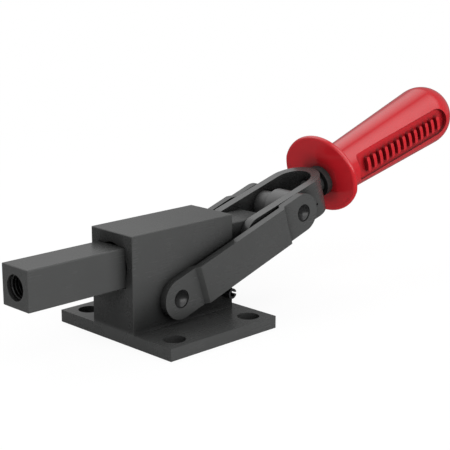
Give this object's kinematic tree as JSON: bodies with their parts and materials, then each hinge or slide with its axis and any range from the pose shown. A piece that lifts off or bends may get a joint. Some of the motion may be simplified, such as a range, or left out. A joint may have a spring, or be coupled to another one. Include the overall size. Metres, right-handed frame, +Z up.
{
  "type": "toggle clamp",
  "caption": "Straight-line toggle clamp: square plunger in a flanged block, driven by joggled links and a U-bent handle strap.",
  "frame": {"origin": "centre of the four bolt holes, on the underside of the base plate", "axes": "+X is the way the plunger pushes, +Z is up out of the base plate, +Y is the clamp's left side"},
  "size_m": [0.4031, 0.1064, 0.1303],
  "materials": {
    "body_steel": "black oxide, satin",
    "bar_steel": "black oxide, ground flats",
    "plate_steel": "black oxide on stamped plate",
    "pin_steel": "black oxide, riveted ends",
    "turned_steel": "turned, light oil",
    "bush_bronze": "sintered bronze, oiled",
    "grip_plastic": "gloss moulded"
  },
  "bodies": {
    "base": {"flanged_body": "body_steel", "body_bush_left": "bush_bronze", "body_bush_right": "bush_bronze", "stop_pin": "pin_steel"},
    "plunger": {"plunger": "bar_steel", "plunger_bush": "bush_bronze"},
    "handle": {"fork_strap": "plate_steel", "arm_bush_left": "bush_bronze", "arm_bush_right": "bush_bronze", "plunger_pin": "pin_steel", "toggle_pin": "pin_steel", "spacer_wide": "turned_steel", "spacer_narrow": "turned_steel", "handle_stud": "turned_steel", "stud_collar": "turned_steel", "grip": "grip_plastic"},
    "links": {"link_left": "plate_steel", "link_right": "plate_steel", "body_pivot_pin": "pin_steel", "toggle_pin_end_left": "pin_steel", "toggle_pin_end_right": "pin_steel"}
  },
  "joints": [
    {"name": "plunger_slide", "type": "slide", "parent": "base", "child": "plunger", "axis": [1, 0, 0], "range_m": [-0.06, 0]},
    {"name": "handle_swing", "type": "hinge", "parent": "plunger", "child": "handle", "pos_m": [-0.06575, 0, 0.051], "axis": [0, 1, 0], "range_deg": [0, 124.1]},
    {"name": "link_swing", "type": "hinge", "parent": "base", "child": "links", "pos_m": [0.01035, 0, 0.025], "axis": [0, 1, 0], "range_deg": [0, 7.3]}
  ],
  "couplings": [
    {"joint": "plunger_slide", "follows": "handle_swing", "m_per_rad": -0.027683},
    {"joint": "link_swing", "follows": "handle_swing", "ratio": 0.058704}
  ]
}
